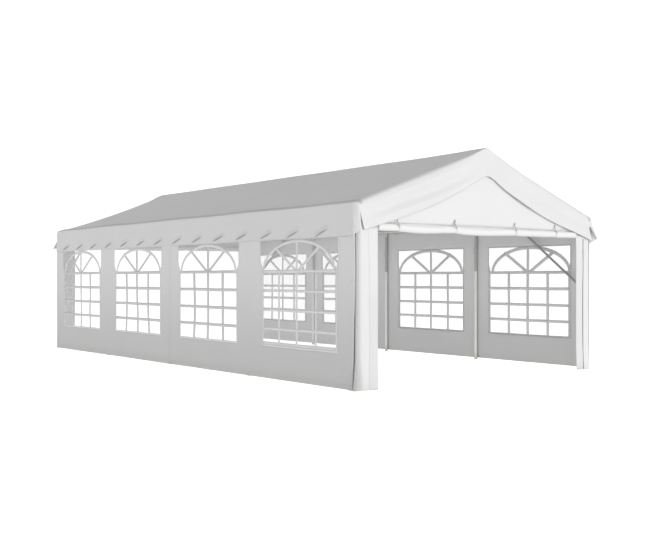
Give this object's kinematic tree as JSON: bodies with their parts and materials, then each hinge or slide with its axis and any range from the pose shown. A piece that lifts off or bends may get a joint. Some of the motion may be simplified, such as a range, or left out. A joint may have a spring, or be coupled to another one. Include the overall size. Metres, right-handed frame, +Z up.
{
  "type": "marquee tent",
  "caption": "White party marquee: sewn roof cover with valances, side walls with clear arched windows, open ends with rolled-up doors, on a steel tube frame.",
  "frame": {"origin": "on the ground, in the middle of the plan", "axes": "+Z up, Y along the ridge with the front gable facing -Y, X across the tent"},
  "size_m": [4.024, 8.12, 2.725],
  "materials": {
    "cover_sheet": "matt white coated polyethylene sheet",
    "wall_sheet": "matt white coated polyethylene sheet, slightly see-through to light",
    "window_sheet": "clear flexible film with a soft gloss",
    "frame_steel": "white powder coat on steel tube, satin"
  },
  "bodies": {
    "root": {"roof_cover": "cover_sheet", "wall_left_front": "wall_sheet", "wall_left_back": "wall_sheet", "wall_right_front": "wall_sheet", "wall_right_back": "wall_sheet", "end_wall_front": "wall_sheet", "door_roll_front": "wall_sheet", "end_wall_back": "wall_sheet", "door_roll_back": "wall_sheet", "window_left_1": "window_sheet", "window_left_2": "window_sheet", "window_left_3": "window_sheet", "window_left_4": "window_sheet", "window_right_1": "window_sheet", "window_right_2": "window_sheet", "window_right_3": "window_sheet", "window_right_4": "window_sheet", "leg_left_front": "frame_steel", "rafter_left_front": "frame_steel", "leg_left_second": "frame_steel", "rafter_left_second": "frame_steel", "leg_left_middle": "frame_steel", "rafter_left_middle": "frame_steel", "leg_left_fourth": "frame_steel", "rafter_left_fourth": "frame_steel", "leg_left_back": "frame_steel", "rafter_left_back": "frame_steel", "leg_right_front": "frame_steel", "rafter_right_front": "frame_steel", "leg_right_second": "frame_steel", "rafter_right_second": "frame_steel", "leg_right_middle": "frame_steel", "rafter_right_middle": "frame_steel", "leg_right_fourth": "frame_steel", "rafter_right_fourth": "frame_steel", "leg_right_back": "frame_steel", "rafter_right_back": "frame_steel", "eave_rail_left": "frame_steel", "knee_brace_left_front": "frame_steel", "knee_brace_left_back": "frame_steel", "eave_rail_right": "frame_steel", "knee_brace_right_front": "frame_steel", "knee_brace_right_back": "frame_steel", "ridge_rail": "frame_steel"}
  },
  "joints": []
}
